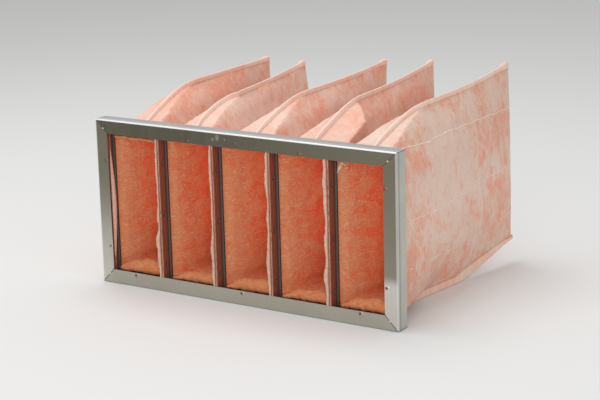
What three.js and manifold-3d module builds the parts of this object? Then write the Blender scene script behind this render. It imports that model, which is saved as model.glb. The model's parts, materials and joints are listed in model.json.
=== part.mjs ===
// Bag air filter, full width and half height, with five pockets.
// Each pocket is one blank of fibrous medium, folded at the rear and sewn along its top and bottom edges. A steel
// retainer with a rolled rear bead holds its mouth open. The retainers stand side by side, stapled together through the
// medium, in a header frame of four folded channels. Air enters along +Y.
// Millimetres, +Z up. The origin is on the ground under the middle of the header. The bellies of the pockets' bottom
// seams lie on the same ground.

import * as THREE from "three";
import { mergeVertices } from "three/addons/utils/BufferGeometryUtils.js";
import Module from "manifold-3d";

const wasm = await Module();
wasm.setup();

// Header frame
const HEADER_WIDTH = 592;
const HEADER_HEIGHT = 287;
const HEADER_DEPTH = 29;
const SHEET = 1; // thickness of the header's galvanised sheet
const BEND_RADIUS = 1.8; // outside radius of the channel's two folds
const FRONT_FLANGE = 24.2; // height of the front flange, from the header's outer edge
const REAR_LIP = 15.7; // height of the rear lip, from the header's outer edge
const FRONT_FACE = -HEADER_DEPTH / 2; // Y of the header's front face

// Punched fixing holes in the front flange, each with a raised rim. A channel's first and last hole are placed by
// their distance from its two ends, and a hole between them by its distance from the middle.
const HOLE_DIAMETER = 4.8;
const HOLE_INSET = 20; // from the header's outer edge to a hole's centre
const RIM_DIAMETER = 9;
const RIM_HEIGHT = 0.7;
const HOLE_SIDES = 14;
const HOLES_TOP = { first: 194, last: 178 }; // from left to right
const HOLES_BOTTOM = { first: 73, middle: -2, last: 69 };
const HOLES_LEFT = { first: 66, last: 71 }; // from the bottom up
const HOLES_RIGHT = { first: 69, last: 59 };

const FIT = 0.3; // clearance between pieces that touch

// Posture of the pockets, from left to right: how far each rear fold has swung sideways at its top and at its foot,
// and how far its top seam has risen above the mouth halfway back and at the rear
const SWING_TOP = [-18, -50, 14, -2, 33];
const SWING_FOOT = [-20, -18, 0, -2, 39];
const CREST_RISE = [49, 36, 48, 47, 48];
const REAR_RISE = [51, 49, 64, 70, 76];
const REAR_BOTTOM = 49; // height of the bottom seam's rear end, which has lifted off the ground

// Pocket stack, which fills the header's opening between the rear lips
const POCKET_COUNT = SWING_TOP.length;
const STACK_BASE = REAR_LIP + FIT;
const STACK_TOP = HEADER_HEIGHT - STACK_BASE;
const STACK_HEIGHT = STACK_TOP - STACK_BASE;
const STACK_WIDTH = HEADER_WIDTH - 2 * STACK_BASE;
const POCKET_PITCH = STACK_WIDTH / POCKET_COUNT;

// Retainer strip, measured along Y from the header's front face
const RETAINER_FRONT = 3;
const RETAINER_DEPTH = 20;
const STRIP = 0.8; // thickness of the strip
const BEAD_DIAMETER = 5.4; // rolled rear edge, which bulges into the mouth

// Filter medium
const CLAMPED_WALL = 2.2; // the medium pressed flat between two retainers
const WALL = 4; // the medium in its loose state
const POCKET_DEPTH = 445; // from the header's front face to the rear fold
const LOFT_START = 34; // depth at which the medium has recovered its thickness
const FOLD_HALF_WIDTH = 4.6; // half the width of the rear fold
const REAR_ROUND = 0.3; // share of the fold's width left where it turns round at the rear
const BULGE = 5; // how far the air has pushed each wall out of its straight taper
const AIR_END = 405; // depth at which the two walls meet inside
const AIR_DROP = 14; // how far the air space ends below the seam at the rear fold, more than at the mouth
const SHOULDER = 92; // height over which a wall curves in towards its seam
const SHOULDER_STEPS = [0.3, 0.6, 1]; // shares of the shoulder at which its curve has a point
const GUSSET_END = 190; // depth at which the creases from the mouth's corners meet the seam
const CREST_DEPTH = 204; // depth at which the top seam has risen to its full height
const GROUND_DEPTH = 154; // depth at which the bottom seam has come down to the ground
const LIFT_DEPTH = 279; // depth at which the bottom seam leaves the ground again
const LIFT_POWER = 1.25;
const SEAM_HEIGHT = 8; // height of the sewn seam allowance
const SEAM_WIDTH = 3.6;
const SEAM_GROWTH = 60; // length over which the allowance comes out of the header
const SEAM_START = 0.5; // height of the allowance where it leaves the header
const NUB_HEIGHT = 4; // the seam allowance's stiff rear end stands prouder
const NUB_LENGTH = 9;
const NUB_SETBACK = 3; // from the nub to the rear fold
const CORNER_DROP = 10; // the rear fold's corners are rounded off below the seams

// Staples through neighbouring retainers
const STAPLES = 3; // staples in each row, evenly spaced
const STAPLE_FOOT = 29; // from the stack's base to the lowest staple
const STAPLE_HEAD = 49.5; // from the highest staple to the stack's top
const STAPLE_SPAN = 7;
const STAPLE_WIRE = 1.2;
const STAPLE_GAP = 0.8; // between the two clenched feet
const STAPLE_DEPTH = 11; // from the header's front face

// Finishes
const finish = (name, color, roughness, metalness) =>
  new THREE.MeshStandardMaterial({ name, color, roughness, metalness });
const galvanised = finish("galvanised_sheet", 0xb9bab2, 0.42, 1);
const stripSteel = finish("strip_steel", 0x8d7a6c, 0.35, 1);
const wireSteel = finish("wire_steel", 0xb0aca4, 0.3, 1);
const medium = finish("filter_medium", 0xe58468, 0.95, 0);

const smooth = (v) => {
  const s = THREE.MathUtils.clamp(v, 0, 1);
  return s * s * (3 - 2 * s);
};

// Solids from geometries and back
function solid(geometry) {
  const bare = geometry.clone();
  bare.deleteAttribute("normal");
  bare.deleteAttribute("uv");
  const merged = mergeVertices(bare, 1e-4);
  return new wasm.Manifold(
    new wasm.Mesh({
      numProp: 3,
      vertProperties: Float32Array.from(merged.attributes.position.array),
      triVerts: Uint32Array.from(merged.index.array),
    }),
  );
}

function geometryOf(manifold) {
  const { vertProperties, triVerts } = manifold.getMesh();
  const indexed = new THREE.BufferGeometry();
  indexed.setAttribute("position", new THREE.BufferAttribute(vertProperties, 3));
  indexed.setIndex(new THREE.BufferAttribute(triVerts, 1));
  const faceted = indexed.toNonIndexed();
  faceted.computeVertexNormals();
  return faceted;
}

function named(name, geometry, material) {
  const mesh = new THREE.Mesh(geometry, material);
  mesh.name = name;
  return mesh;
}

// Header channel. Local frame: X along the channel, +Z inwards from the header's outer edge, Y as in the header.
function channelSection() {
  const r = BEND_RADIUS;
  const inner = r - SHEET;
  const back = HEADER_DEPTH;
  const section = new THREE.Shape();
  section.moveTo(0, FRONT_FLANGE);
  section.lineTo(0, r);
  section.absarc(r, r, r, Math.PI, 1.5 * Math.PI, false);
  section.absarc(back - r, r, r, 1.5 * Math.PI, 2 * Math.PI, false);
  section.lineTo(back, REAR_LIP);
  section.lineTo(back - SHEET, REAR_LIP);
  section.absarc(back - r, r, inner, 0, -0.5 * Math.PI, true);
  section.absarc(r, r, inner, 1.5 * Math.PI, Math.PI, true);
  section.lineTo(SHEET, FRONT_FLANGE);
  section.closePath();
  return section;
}

// Each end is cut on the mitre: a point's end lies further in by its own distance from the outer edge, less the
// overhang that lets one channel's web pass over the end of the next.
function mitre(geometry, length, overhang, setback) {
  const at = geometry.attributes.position;
  for (let i = 0; i < at.count; i++) {
    const cut = Math.max(0, at.getZ(i) - overhang) + setback;
    at.setX(i, Math.sign(at.getX(i)) * (length / 2 - cut));
  }
  return geometry;
}

// A raised rim round a hole through the front flange.
function punchedHole(x) {
  const bore = HOLE_DIAMETER / 2;
  const rim = RIM_DIAMETER / 2;
  const sunk = SHEET / 2;
  const inside = bore / 2; // the drill then opens the collar to the bore
  const profile = [
    [inside, -sunk],
    [rim, -sunk],
    [rim, 0],
    [bore + SHEET, RIM_HEIGHT],
    [inside, RIM_HEIGHT],
    [inside, -sunk],
  ].map(([radius, height]) => new THREE.Vector2(radius, height));
  const collar = new THREE.LatheGeometry(profile, HOLE_SIDES);
  const drill = new THREE.CylinderGeometry(bore, bore, 6 * SHEET, HOLE_SIDES);
  for (const g of [collar, drill]) {
    g.rotateX(Math.PI); // the rim stands out towards the front
    g.translate(x, FRONT_FACE, HOLE_INSET);
  }
  return { collar: solid(collar), drill: solid(drill) };
}

// Where a channel's holes lie, from its middle.
function holePlaces({ first, middle, last }, length) {
  const ends = [first - length / 2, length / 2 - last];
  return middle === undefined ? ends : [...ends, middle];
}

function channel(name, length, holes, webOnTop) {
  const options = { depth: length, bevelEnabled: false, curveSegments: 3 };
  const bar = new THREE.ExtrudeGeometry(channelSection(), options);
  bar.translate(0, 0, -length / 2);
  // the section's plane is (Y, Z) and its length runs along X
  bar.applyMatrix4(new THREE.Matrix4().set(0, 0, 1, 0, 1, 0, 0, FRONT_FACE, 0, 1, 0, 0, 0, 0, 0, 1));
  const overhang = SHEET + FIT;
  let body = solid(mitre(bar, length, webOnTop ? overhang : 0, webOnTop ? 0 : overhang + FIT));
  for (const x of holes) {
    const { collar, drill } = punchedHole(x);
    body = body.add(collar).subtract(drill);
  }
  return named(name, geometryOf(body), galvanised);
}

function header() {
  const frame = new THREE.Group();
  const middle = HEADER_HEIGHT / 2;
  const across = (holes) => holePlaces(holes, HEADER_WIDTH);
  const upright = (holes) => holePlaces(holes, HEADER_HEIGHT);
  const top = channel("header_top", HEADER_WIDTH, across(HOLES_TOP).map((x) => -x), true);
  top.rotation.y = Math.PI;
  top.position.z = HEADER_HEIGHT;
  const bottom = channel("header_bottom", HEADER_WIDTH, across(HOLES_BOTTOM), true);
  const left = channel("header_left", HEADER_HEIGHT, upright(HOLES_LEFT).map((z) => -z), false);
  left.rotation.y = Math.PI / 2;
  left.position.set(-HEADER_WIDTH / 2, 0, middle);
  const right = channel("header_right", HEADER_HEIGHT, upright(HOLES_RIGHT), false);
  right.rotation.y = -Math.PI / 2;
  right.position.set(HEADER_WIDTH / 2, 0, middle);
  frame.add(top, bottom, left, right);
  return frame;
}

// A skin of quads through rings of equally many points. wrap joins the last ring to the first, and otherwise both ends
// are zipped shut, each point to its mirror image on the ring's other side.
function skin(rings, wrap) {
  const n = rings[0].length;
  const index = [];
  const quad = (a, b, c, d) => index.push(a, b, c, a, c, d);
  const spans = wrap ? rings.length : rings.length - 1;
  for (let r = 0; r < spans; r++) {
    const here = r * n;
    const next = ((r + 1) % rings.length) * n;
    for (let k = 0; k < n; k++) {
      const l = (k + 1) % n;
      quad(here + k, here + l, next + l, next + k);
    }
  }
  if (!wrap) {
    const last = (rings.length - 1) * n;
    for (let k = 0; k < n / 2 - 1; k++) {
      quad(n - 1 - k, n - 2 - k, k + 1, k);
      quad(last + k, last + k + 1, last + n - 2 - k, last + n - 1 - k);
    }
  }
  const geometry = new THREE.BufferGeometry();
  geometry.setAttribute("position", new THREE.Float32BufferAttribute(rings.flat(2), 3));
  geometry.setIndex(index);
  return geometry;
}

// Where neighbouring pockets meet, counted from the left. The two outer walls have no neighbour.
const boundaryX = (i) => (i - POCKET_COUNT / 2) * POCKET_PITCH;
const stripOuter = FIT / 2 + CLAMPED_WALL + FIT; // from a boundary to the strip's outer face
const stripInner = stripOuter + STRIP;

// Height of a row's staple, counted from the lowest.
function stapleHeight(level) {
  return THREE.MathUtils.lerp(STACK_BASE + STAPLE_FOOT, STACK_TOP - STAPLE_HEAD, level / (STAPLES - 1));
}
const stapleLevels = Array.from({ length: STAPLES }, (_, level) => level);

// The staples' slots through the strips and the medium, on the boundaries that have a neighbour on both sides.
function stapleSlots(boundary) {
  const slot = new THREE.BoxGeometry(
    2 * (stripInner + STRIP),
    STAPLE_WIRE + 2 * FIT,
    STAPLE_SPAN + 2 * FIT,
  );
  return stapleLevels.map((level) =>
    solid(slot.clone().translate(boundaryX(boundary), FRONT_FACE + STAPLE_DEPTH, stapleHeight(level))),
  );
}

function slotted(body, pocket) {
  let cut = body;
  for (const boundary of [pocket, pocket + 1]) {
    if (boundary === 0 || boundary === POCKET_COUNT) continue;
    for (const slot of stapleSlots(boundary)) cut = cut.subtract(slot);
  }
  return cut;
}

// Retainer: the strip's section, as (depth, distance inwards), carried round the mouth with mitred corners.
function retainerSection() {
  const bead = BEAD_DIAMETER / 2;
  const rear = RETAINER_FRONT + RETAINER_DEPTH;
  const beadCentre = [rear - bead, bead];
  const points = [
    [RETAINER_FRONT, 0],
    [RETAINER_FRONT, STRIP],
  ];
  const start = Math.PI + Math.asin((bead - STRIP) / bead); // where the strip's inner face runs into the bead
  const steps = 10;
  for (let k = 0; k <= steps; k++) {
    const angle = start - (k / steps) * (start + Math.PI / 2);
    points.push([beadCentre[0] + bead * Math.cos(angle), beadCentre[1] + bead * Math.sin(angle)]);
  }
  return points;
}

function retainer(pocket) {
  const halfWidth = POCKET_PITCH / 2 - stripOuter;
  const halfHeight = STACK_HEIGHT / 2 - stripOuter;
  const middle = STACK_BASE + STACK_HEIGHT / 2;
  const centre = boundaryX(pocket) + POCKET_PITCH / 2;
  const corner = (sx, sz) =>
    retainerSection().map(([depth, inwards]) => [
      centre + sx * (halfWidth - inwards),
      FRONT_FACE + depth,
      middle + sz * (halfHeight - inwards),
    ]);
  const corners = [corner(1, 1), corner(1, -1), corner(-1, -1), corner(-1, 1)];
  const body = slotted(solid(skin(corners, true)), pocket);
  return named("pocket_retainer_" + (pocket + 1), geometryOf(body), stripSteel);
}

// Pocket. t runs from 0, just behind the header, to 1 at the rear fold.
const taperStart = HEADER_DEPTH + FIT;
const mouthHalf = (POCKET_PITCH - FIT) / 2;
const mediumFront = SHEET + FIT; // the raw front edge, just behind the front flange
const nubEnd = POCKET_DEPTH - NUB_SETBACK;
const nubStart = nubEnd - NUB_LENGTH;
const slack = FIT; // least width left beside a seam's root

// The share of the way from one depth to another, from 0 to 1.
const share = (depth, from, to) => THREE.MathUtils.clamp((depth - from) / (to - from), 0, 1);
const along = (depth) => share(depth, taperStart, POCKET_DEPTH);

const halfWidthAt = (t) =>
  THREE.MathUtils.lerp(mouthHalf, FOLD_HALF_WIDTH, t) + BULGE * Math.sin(Math.PI * t) * t;
const creaseAt = (depth) => mouthHalf * (1 - share(depth, taperStart, GUSSET_END));

// Height of the top seam's root: up over the gusset, then on towards the rear end.
function topAt(depth, pocket) {
  const climb = CREST_RISE[pocket] * smooth(share(depth, taperStart, CREST_DEPTH));
  return STACK_TOP - FIT / 2 + climb + (REAR_RISE[pocket] - CREST_RISE[pocket]) * along(depth) ** 3;
}

// Height of the bottom seam's root: down until the seam lies on the ground, and up again towards the rear end.
function bottomAt(depth) {
  const mouth = STACK_BASE + FIT / 2;
  const lowered = THREE.MathUtils.lerp(mouth, SEAM_HEIGHT, smooth(share(depth, taperStart, GROUND_DEPTH)));
  return lowered + (REAR_BOTTOM - SEAM_HEIGHT) * share(depth, LIFT_DEPTH, POCKET_DEPTH) ** LIFT_POWER;
}

// How far the seam allowance stands out at a depth: it comes out of the header, and its rear end is the nub.
function seamAt(depth) {
  if (depth > nubStart && depth < nubEnd) return SEAM_HEIGHT + NUB_HEIGHT;
  const grown = SEAM_HEIGHT * smooth(share(depth, taperStart, taperStart + SEAM_GROWTH));
  return depth > taperStart ? Math.max(grown, SEAM_START) : 0;
}

// One ring round a pocket at a depth, anticlockwise from the top seam as seen from the front. inset is the wall's
// thickness for the inner skin, and 0 for the outer one. narrow closes the last ring in to round off the rear fold.
function pocketRing(pocket, depth, inset, narrow = 1) {
  const t = along(depth);
  const centre = boundaryX(pocket) + POCKET_PITCH / 2;
  const root = (SEAM_WIDTH / 2) * (inset ? 0.5 : 1) * narrow;
  const seam = inset ? 0 : seamAt(depth);
  const half = Math.max(halfWidthAt(t) - inset, root + 2 * slack) * narrow;
  const crease = Math.min(Math.max(creaseAt(depth) - inset, root + slack * narrow), half);
  const drop = inset ? inset + AIR_DROP * t : (CORNER_DROP * (1 - narrow)) / (1 - REAR_ROUND);
  const top = topAt(depth, pocket) - drop;
  const bottom = bottomAt(depth) + drop;
  const middle = (top + bottom) / 2;
  const shoulder = Math.min(SHOULDER, top - middle - WALL);
  const curve = (k) => crease + (half - crease) * Math.sin((Math.PI / 2) * k);
  const upper = SHOULDER_STEPS.map((k) => [curve(k), top - k * shoulder]);
  const lower = SHOULDER_STEPS.map((k) => [curve(k), bottom + k * shoulder]);
  const side = [
    [root, top + seam],
    [root, top],
    [crease, top],
    ...upper,
    [half, middle],
    ...lower.reverse(),
    [crease, bottom],
    [root, bottom],
    [root, bottom - seam],
  ];
  const place = ([x, z]) => {
    const height = (z - bottom) / (top - bottom);
    const swing = THREE.MathUtils.lerp(SWING_FOOT[pocket], SWING_TOP[pocket], height);
    return [centre + swing * t + x, FRONT_FACE + depth, z];
  };
  return [...side.map(([x, z]) => place([-x, z])), ...side.reverse().map(place)];
}

// Evenly spaced depths from one depth to another, both included.
const spaced = (from, to, steps) =>
  Array.from({ length: steps + 1 }, (_, k) => THREE.MathUtils.lerp(from, to, k / steps));

function pocket(i) {
  const riser = FIT / 2; // each end of the nub is this steep
  const outer = [
    mediumFront,
    ...spaced(taperStart, GUSSET_END, 6),
    ...spaced(GUSSET_END, nubStart - riser, 4).slice(1),
    nubStart + riser,
    nubEnd - riser,
    nubEnd + riser,
  ];
  const inner = [
    mediumFront,
    taperStart,
    ...spaced(LOFT_START, GUSSET_END, 4),
    ...spaced(GUSSET_END, AIR_END, 4).slice(1),
  ];
  const rings = [
    pocketRing(i, POCKET_DEPTH, 0, REAR_ROUND),
    ...outer.reverse().map((depth) => pocketRing(i, depth, 0)),
    ...inner.map((depth) => pocketRing(i, depth, depth < LOFT_START ? CLAMPED_WALL : WALL)),
  ];
  return named("pocket_" + (i + 1), geometryOf(slotted(solid(skin(rings, false)), i)), medium);
}

// Staple: a crown, two legs and two clenched feet, cut from one square wire.
function staple(boundary, level) {
  const reach = stripInner + FIT + STAPLE_WIRE;
  const half = STAPLE_SPAN / 2;
  const foot = STAPLE_GAP / 2;
  const w = STAPLE_WIRE;
  const outline = new THREE.Shape(
    [
      [reach, half],
      [-reach, half],
      [-reach, foot],
      [w - reach, foot],
      [w - reach, half - w],
      [reach - w, half - w],
      [reach - w, w - half],
      [w - reach, w - half],
      [w - reach, -foot],
      [-reach, -foot],
      [-reach, -half],
      [reach, -half],
    ].map(([x, z]) => new THREE.Vector2(x, z)),
  );
  const wire = new THREE.ExtrudeGeometry(outline, { depth: w, bevelEnabled: false });
  wire.translate(0, 0, -w / 2);
  const mesh = named("retainer_staple_" + boundary + "_" + (level + 1), geometryOf(solid(wire)), wireSteel);
  mesh.rotation.x = Math.PI / 2;
  mesh.position.set(boundaryX(boundary), FRONT_FACE + STAPLE_DEPTH, stapleHeight(level));
  return mesh;
}

function filter() {
  const group = new THREE.Group();
  group.name = "bag_air_filter";
  group.add(header());
  for (let i = 0; i < POCKET_COUNT; i++) group.add(retainer(i), pocket(i));
  for (let boundary = 1; boundary < POCKET_COUNT; boundary++)
    stapleLevels.forEach((level) => group.add(staple(boundary, level)));
  return group;
}

export default filter();
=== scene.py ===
"""Looks of a bag air filter: sewn pockets of fibrous medium in a folded sheet-metal header.

Laid out as an add-on, with one operator for each group of like pieces, and run as a script. Metres, +Z up. Air enters
along +Y. Depths are measured from the header's front face.
"""

import json
import math

import bpy
import numpy as np
from bpy.props import FloatProperty, FloatVectorProperty, IntProperty, PointerProperty
from bpy.types import Operator, Panel, PropertyGroup
from mathutils import Matrix, Vector


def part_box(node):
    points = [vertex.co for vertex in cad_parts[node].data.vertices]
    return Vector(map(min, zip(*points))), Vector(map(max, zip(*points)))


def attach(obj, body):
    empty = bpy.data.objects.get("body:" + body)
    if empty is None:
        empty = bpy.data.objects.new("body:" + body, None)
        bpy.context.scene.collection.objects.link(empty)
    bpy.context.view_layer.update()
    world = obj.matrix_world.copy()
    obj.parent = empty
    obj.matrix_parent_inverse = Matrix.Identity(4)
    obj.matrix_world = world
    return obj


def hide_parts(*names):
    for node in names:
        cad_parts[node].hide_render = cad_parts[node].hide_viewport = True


bl_info = {
    "name": "Bag air filter",
    "version": (1, 0, 0),
    "blender": (4, 5, 0),
    "location": "3D View > Sidebar > Filter",
    "description": "Builds the looks of a bag air filter round its fixed frame",
    "category": "Add Mesh",
}

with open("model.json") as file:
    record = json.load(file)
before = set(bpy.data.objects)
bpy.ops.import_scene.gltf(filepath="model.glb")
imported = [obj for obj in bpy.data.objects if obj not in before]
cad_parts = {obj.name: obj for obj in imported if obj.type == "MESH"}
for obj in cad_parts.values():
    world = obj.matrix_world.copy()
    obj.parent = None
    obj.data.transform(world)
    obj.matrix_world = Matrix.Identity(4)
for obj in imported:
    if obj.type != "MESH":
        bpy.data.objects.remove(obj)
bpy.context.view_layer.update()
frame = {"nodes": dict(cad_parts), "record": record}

MOUNTS = {mount["name"]: mount for mount in frame["record"]["mounts"]}
FRONT = MOUNTS["header_front"]["pos_m"][1]
REAR = MOUNTS["header_rear"]["pos_m"][1]
HEADER_DEPTH = REAR - FRONT
HALF_WIDTH, HEADER_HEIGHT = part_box("header_top")[1].x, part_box("header_top")[1].z
HEADERS = ["header_top", "header_bottom", "header_left", "header_right"]
POCKETS = sorted(name for name in frame["nodes"] if name.startswith("pocket_") and name[7:].isdigit())
RETAINERS = sorted(name for name in frame["nodes"] if name.startswith("pocket_retainer_"))
STAPLES = sorted(name for name in frame["nodes"] if name.startswith("retainer_staple_"))
PITCH = (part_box(RETAINERS[1])[0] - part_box(RETAINERS[0])[0]).x
STACK_LEFT = -PITCH * len(POCKETS) / 2

# The camera that the photograph was taken with, solved from the header's corners
IMAGE_WIDTH = 600
FOCAL_PIXELS = 1798.17
CAMERA_AZIMUTH = math.radians(33.873)
CAMERA_ELEVATION = math.radians(13.912)
CAMERA_ROLL = math.radians(-1.520)
CAMERA_DISTANCE = 2.96028
CAMERA_ACROSS = 0.09342
CAMERA_UP = 0.173255
SENSOR_WIDTH = 36.0


def colour(name, description, default):
    return FloatVectorProperty(name=name, description=description, default=default, subtype="COLOR", size=3,
                               min=0, max=1)


def length(name, description, default):
    return FloatProperty(name=name, description=description, default=default, unit="LENGTH")


def lengths(name, description, default):
    return FloatVectorProperty(name=name, description=description, default=default, unit="LENGTH", size=5)


def numbers(name, description, default):
    return FloatVectorProperty(name=name, description=description, default=default, size=5)


class FilterPocketSizes(PropertyGroup):
    """Sizes and posture of the pockets."""

    depth: length("Depth", "From the header's front face to the rear fold", 0.445)
    front: length("Front edge", "From the header's front face to the medium's raw edge", 0.0013)
    clamped: length("Clamped wall", "Thickness of the medium between two retainers", 0.0022)
    wall: length("Wall", "Thickness of the loose medium", 0.004)
    base: length("Mouth base", "Height of the mouth's lower edge", 0.01615)
    top: length("Mouth top", "Height of the mouth's upper edge", 0.27085)
    fold: length("Fold", "Half the width of the rear fold", 0.0046)
    bulge: length("Bulge", "How far the air has pushed a wall out of its straight taper", 0.005)
    shoulder: length("Shoulder", "Height over which a wall curves in towards its seam", 0.092)
    gusset: length("Gusset", "Depth at which the creases from the mouth's corners meet the seam", 0.190)
    crest: length("Crest", "Depth at which the top seam has risen to its full height", 0.204)
    ground: length("Ground", "Depth at which the bottom seam has come down to the ground", 0.154)
    lift: length("Lift", "Depth at which the bottom allowance leaves the ground again", 0.279)
    rear_bottom: length("Rear bottom", "Height of the bottom seam's rear end", 0.047)
    seam: length("Seam", "Height of the sewn top allowance", 0.008)
    hem: length("Hem", "Height of the sewn bottom allowance, where it stands on the ground", 0.0145)
    rise: length("Rise", "Depth at which the bottom seam starts to rise again", 0.272)
    rear_edge: length("Rear edge", "Height of the bottom allowance's lower edge at the rear", 0.041)
    seam_width: length("Seam width", "Thickness of the sewn seam allowance", 0.0036)
    nub: length("Nub", "How much prouder the allowance's stiff rear end stands", 0.0026)
    crease_left: numbers("Left creases", "How late each left crease turns in to the seam",
                         (1.1, 1.15, 1.35, 1.0, 1.5))
    crease_right: numbers("Right creases", "How late each right crease turns in to the seam",
                          (0.32, 0.35, 0.5, 4.5, 0.4))
    puff_left: lengths("Left gussets", "How far each left crease stands above its straight line",
                       (0.003, 0.002, 0.0005, 0.0, 0.0))
    puff_right: lengths("Right gussets", "How far each right crease stands above its straight line",
                        (0.002, 0.002, 0.002, -0.010, 0.003))
    lean: lengths("Lean", "How far each seam lies over to the left near the header",
                  (0.010, 0.018, 0.010, 0.004, 0.009))
    fold_depth: lengths("Fold depths", "Depth of the upright fold in each right wall",
                        (0.100, 0.062, 0.075, 0.150, 0.165))
    fold_drop: lengths("Folds", "How far each right wall is drawn in behind its fold",
                       (0.002, 0.006, 0.005, 0.009, 0.004))
    tail: length("Tail", "How far the bottom allowance sticks out behind the rear fold", 0.011)
    swing_top: lengths("Swing of the tops", "How far each rear fold has swung sideways at its top",
                       (-0.018, -0.050, 0.014, -0.002, 0.033))
    swing_foot: lengths("Swing of the feet", "How far each rear fold has swung sideways at its foot",
                        (-0.020, -0.018, 0.0, -0.002, 0.039))
    crest_rise: lengths("Crest rise", "How far each top seam rises above the mouth halfway back",
                        (0.049, 0.036, 0.048, 0.047, 0.048))
    rear_rise: lengths("Rear rise", "How far each top seam rises above the mouth at the rear",
                       (0.051, 0.049, 0.064, 0.070, 0.076))
    rows: IntProperty(name="Rows", description="Rings of the outer skin", default=220, min=60)


class FilterColours(PropertyGroup):
    """Colours of the finishes."""

    sheet: colour("Galvanised sheet", "Clean galvanised sheet", (0.60, 0.595, 0.54))
    # Painted reflection: the top flange is dark as if it mirrored a dark room; dimmed, it also darkens the spangle
    sheet_dark_reflection_and_spangle: colour("Dull sheet", "The top channel's dulled front flange", (0.115, 0.104, 0.074))
    # Painted reflection: the side flanges darken towards their heads and pale at their feet; the bottom flange is pale
    sheet_side: colour("Side sheet", "The side channels' front flanges at their heads", (0.205, 0.188, 0.140))
    sheet_pale: colour("Pale sheet", "The same flanges at their feet", (0.66, 0.64, 0.59))
    sheet_low: colour("Low sheet", "The bottom channel's front flange", (0.47, 0.45, 0.385))
    # Painted reflection of the sky on the top channel's web
    web: colour("Web", "The top channel's web, which mirrors the sky", (0.50, 0.51, 0.51))
    # Painted reflection: the strip's brown stands in for the dyed fibre that the steel mirrors
    strip: colour("Retainer strip", "Steel strip of the retainers, which mirrors the dyed fibre", (0.36, 0.125, 0.075))
    # Painted shade: the rolled rear edge lies in the channel's shadow and is painted near black
    bead: colour("Bead", "The retainers' rolled rear edge", (0.030, 0.024, 0.020))
    wire: colour("Staple wire", "Steel wire of the staples", (0.55, 0.53, 0.50))
    scrim_pale: colour("Pale scrim", "The outer skin where the backing is thick", (0.78, 0.58, 0.48))
    scrim_salmon: colour("Salmon scrim", "The outer skin where the dyed fibre shows through", (0.82, 0.30, 0.18))
    fibre: colour("Dyed fibre", "The medium's dyed fibre, inside a pocket", (0.84, 0.130, 0.030))
    fibre_pale: colour("Pale fibre", "The paler tufts of fibre on the inside", (0.76, 0.35, 0.170))
    raw_edge: colour("Raw edge", "The cut front edge of the medium", (0.62, 0.38, 0.285))
    thread: colour("Thread", "Sewing thread", (0.92, 0.80, 0.70))
    floor: colour("Floor", "The floor and the backdrop", (0.80, 0.80, 0.79))


# Arrays


def smooth(value):
    """The smooth step s * s * (3 - 2 s) of a value clipped to 0..1."""
    s = np.clip(value, 0, 1)
    return s * s * (3 - 2 * s)


def share(value, start, end):
    """The share of the way from start to end, from 0 to 1."""
    return np.clip((value - start) / (end - start), 0, 1)


def ripple(u, v, size, seed, waves=10, low=0.0, high=math.pi):
    """A sum of plane waves about one size long, of random phase and of a direction from low to high, about -1 to 1."""
    rng = np.random.default_rng(seed)
    total = 0.0
    for _ in range(waves):
        angle = rng.uniform(low, high)
        phase = rng.uniform(0, math.tau)
        wave = math.tau / (size * rng.uniform(0.7, 1.4))
        total = total + np.cos(wave * (u * math.cos(angle) + v * math.sin(angle)) + phase)
    return total / math.sqrt(2 * waves)


def waver(u, size, seed):
    """A ripple along one line."""
    return ripple(u, 0.0, size, seed, 8, 0, 0.1)


def mesh_object(name, points, quads, triangles=None):
    """A mesh object at the origin from arrays of points, quads and triangles, shaded smooth."""
    mesh = bpy.data.meshes.new(name)
    faces = quads.tolist() + ([] if triangles is None else triangles.tolist())
    mesh.from_pydata(points.tolist(), [], faces)
    mesh.validate()
    mesh.shade_smooth()
    piece = bpy.data.objects.new(name, mesh)
    bpy.context.scene.collection.objects.link(piece)
    return piece


def attribute(piece, name, values):
    """Stores one number for each vertex of a piece."""
    layer = piece.data.attributes.new(name, "FLOAT", "POINT")
    layer.data.foreach_set("value", np.ascontiguousarray(values, np.float32).ravel())


def ring_quads(rows, columns, looped=False):
    """Quads of rings of points, stored ring by ring. looped joins the last ring to the first."""
    r = np.arange(rows if looped else rows - 1)[:, None]
    c = np.arange(columns)[None, :]
    s = (r + 1) % rows
    d = (c + 1) % columns
    corners = [r * columns + c, r * columns + d, s * columns + d, s * columns + c]
    return np.stack(corners, -1).reshape(-1, 4)


def end_fans(rows, columns):
    """Triangles that close the first and the last of some rings of points, each in a fan from its first point."""
    k = np.arange(1, columns - 1)
    start = np.stack([0 * k, k + 1, k], 1)
    end = (rows - 1) * columns + np.stack([0 * k, k, k + 1], 1)
    return np.concatenate([start, end])


TUBE_AXIS = (0.31, 0.17, 0.93)  # no path runs along it


def tube(path, radius, sides=8):
    """Points, quads and triangles of a round tube along a path of points, with its ends drawn in and closed.

    Each ring lies in the plane across the path: point = path + r (cos a * side + sin a * up), where side is the cross
    product of the path's direction and a fixed axis, and up that of the direction and side.
    """
    along = np.gradient(path, axis=0)
    along /= np.linalg.norm(along, axis=1, keepdims=True)
    side = np.cross(along, TUBE_AXIS)
    side /= np.linalg.norm(side, axis=1, keepdims=True)
    up = np.cross(along, side)
    angle = np.arange(sides) * math.tau / sides
    scale = np.full(len(path), radius)
    scale[[0, -1]] *= 0.05
    ring = side[:, None] * np.cos(angle)[None, :, None] + up[:, None] * np.sin(angle)[None, :, None]
    points = path[:, None] + ring * scale[:, None, None]
    return points.reshape(-1, 3), ring_quads(len(path), sides), end_fans(len(path), sides)


def joined(shapes):
    """Several (points, quads, triangles) shapes as one."""
    offset, points, quads, triangles = 0, [], [], []
    for p, q, t in shapes:
        points.append(p)
        quads.append(q + offset)
        triangles.append(t + offset)
        offset += len(p)
    return np.concatenate(points), np.concatenate(quads), np.concatenate(triangles)


# Finishes


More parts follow.
